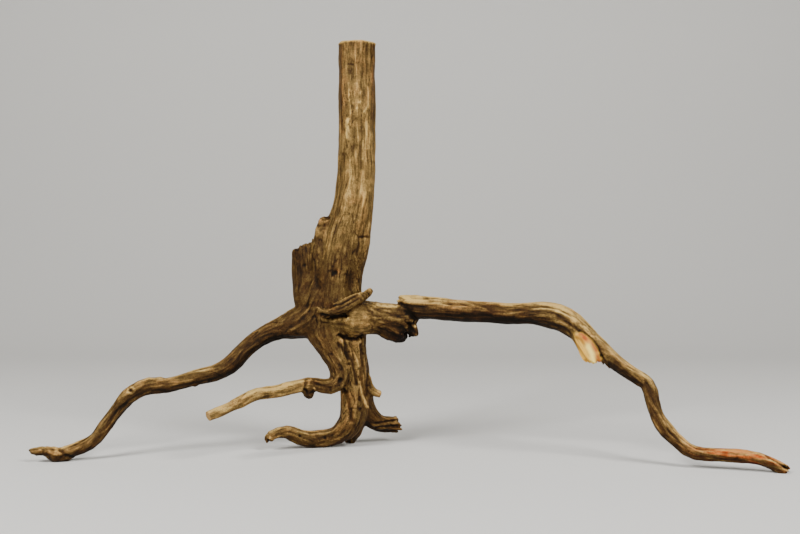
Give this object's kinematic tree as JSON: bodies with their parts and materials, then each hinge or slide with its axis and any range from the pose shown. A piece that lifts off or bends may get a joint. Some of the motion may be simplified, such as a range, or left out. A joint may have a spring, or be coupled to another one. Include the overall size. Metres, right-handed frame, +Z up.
{
  "type": "dry root",
  "caption": "Dry weathered tree root: a straight sawn stem on a knotted crotch, with long side roots that arch down to the floor and short broken roots under it",
  "frame": {"origin": "on the floor, at the middle of the small flat that the bend of the middle root stands on", "axes": "+Z up along the stem, +X along the long right side root's hand, +Y to the back; the side roots lean towards -Y, the viewer"},
  "size_m": [0.7471, 0.1876, 0.4463],
  "materials": {
    "wood": "bare weathered wood, dry and matt, with a slight sheen where it is rubbed smooth"
  },
  "bodies": {
    "root": {"dry_root": "wood"}
  },
  "joints": []
}
